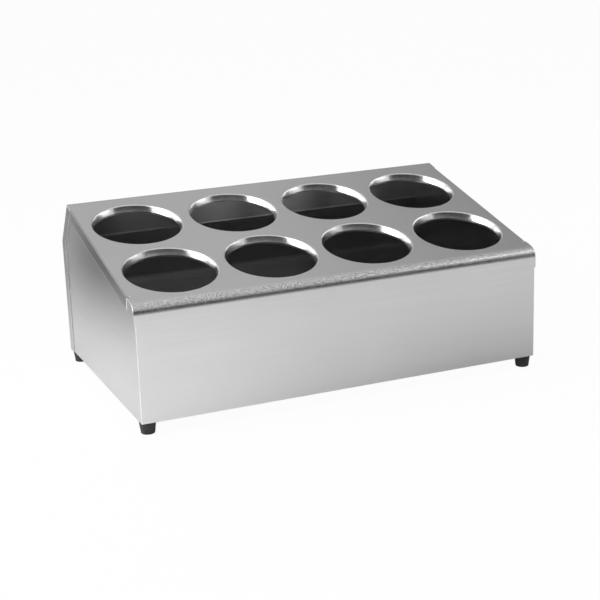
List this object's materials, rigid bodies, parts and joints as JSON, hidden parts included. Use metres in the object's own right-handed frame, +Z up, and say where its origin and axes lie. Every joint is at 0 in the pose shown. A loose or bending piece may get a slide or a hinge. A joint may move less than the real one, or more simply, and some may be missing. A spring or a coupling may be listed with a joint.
{
  "type": "cutlery dispenser",
  "caption": "Countertop cutlery dispenser: closed folded stainless box whose sloping top has rows of round collared holes that hold flatware cylinders, on rubber feet.",
  "frame": {"origin": "on the surface that the feet stand on, under the middle of the box seen from above", "axes": "+Z up, +X to the right seen from the front, -Y towards the user, where the deck is lowest"},
  "size_m": [0.49, 0.3, 0.2055],
  "materials": {
    "brushed_steel": "satin brushed stainless sheet",
    "black_rubber": "matt moulded rubber",
    "plated_steel": "bright plated fastener"
  },
  "bodies": {
    "root": {"deck_shell": "brushed_steel", "side_panel_left": "brushed_steel", "side_panel_right": "brushed_steel", "back_panel": "brushed_steel", "base_tray": "brushed_steel", "rubber_feet": "black_rubber", "foot_screws": "plated_steel", "foot_nuts": "plated_steel"}
  },
  "joints": []
}
